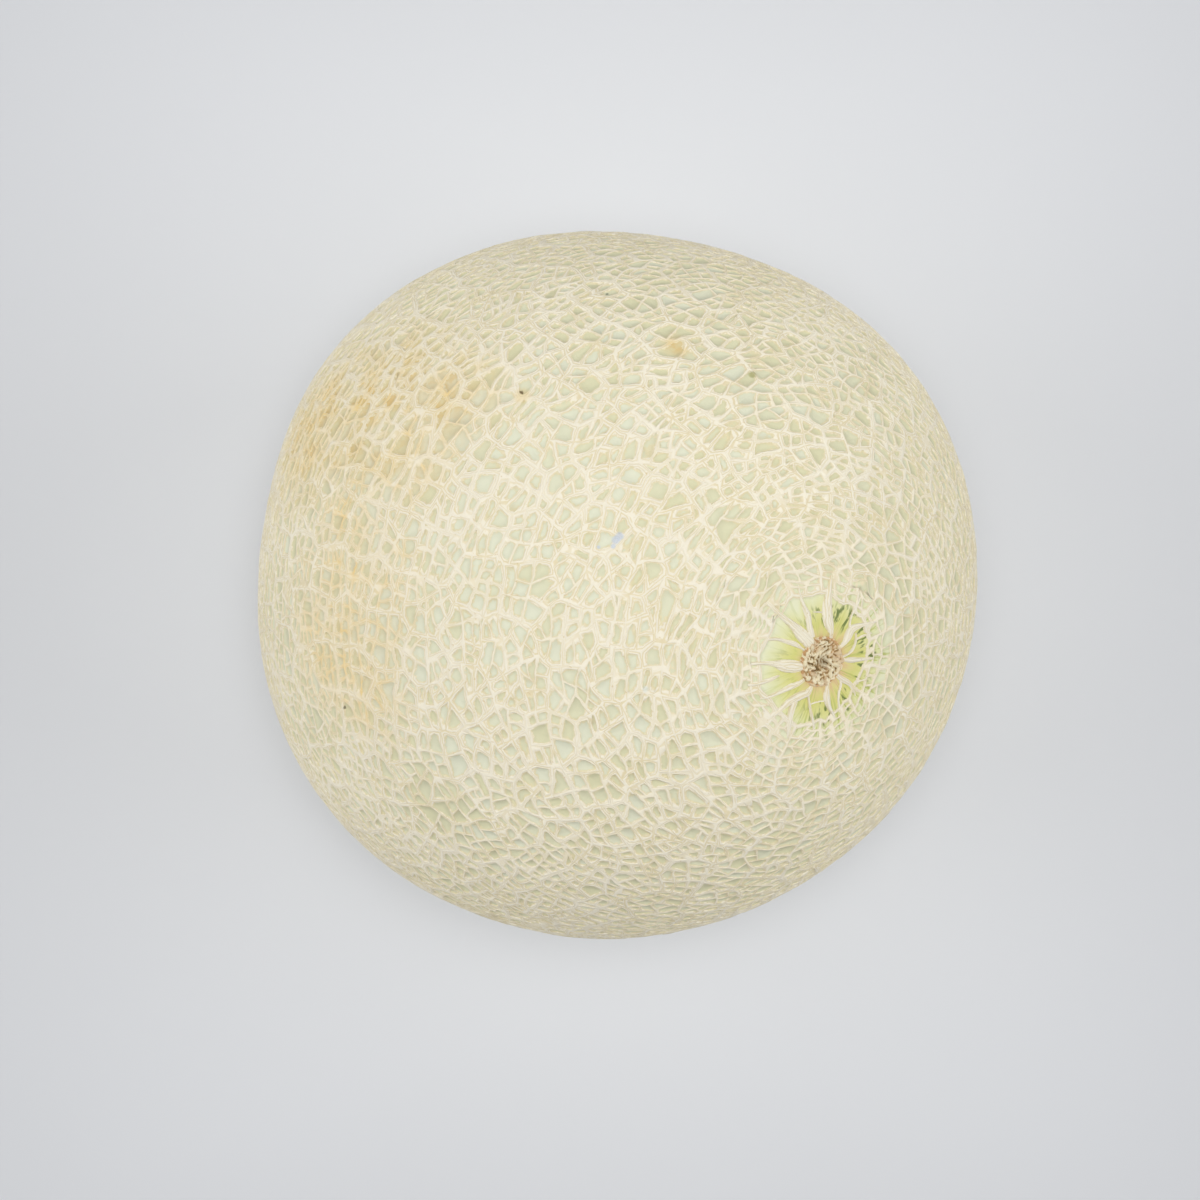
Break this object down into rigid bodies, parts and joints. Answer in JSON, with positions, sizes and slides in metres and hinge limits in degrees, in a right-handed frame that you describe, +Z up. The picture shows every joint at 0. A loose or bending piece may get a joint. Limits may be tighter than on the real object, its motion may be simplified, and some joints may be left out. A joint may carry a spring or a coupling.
{
  "type": "netted melon",
  "caption": "Whole round melon with a raised cork net over pale green skin and a round stem scar with cork rays, lying on a small flat spot.",
  "frame": {"origin": "on the surface that the melon lies on, under the middle of its outline seen from above", "axes": "+Z up; the stem end leans over towards +X, 34.6 degrees from upright; +Y is across the lean"},
  "size_m": [0.1496, 0.148, 0.1495],
  "materials": {
    "rind": "matt netted rind: cream cork net over pale grey-green skin",
    "cork_net": "dry matt cream cork, finely grooved along each cord",
    "skin": "smooth waxy pale grey-green skin, yellow-green round the stem scar",
    "scar": "dry crumbly brown and cream cork"
  },
  "bodies": {
    "root": {"melon": "rind"}
  },
  "joints": []
}
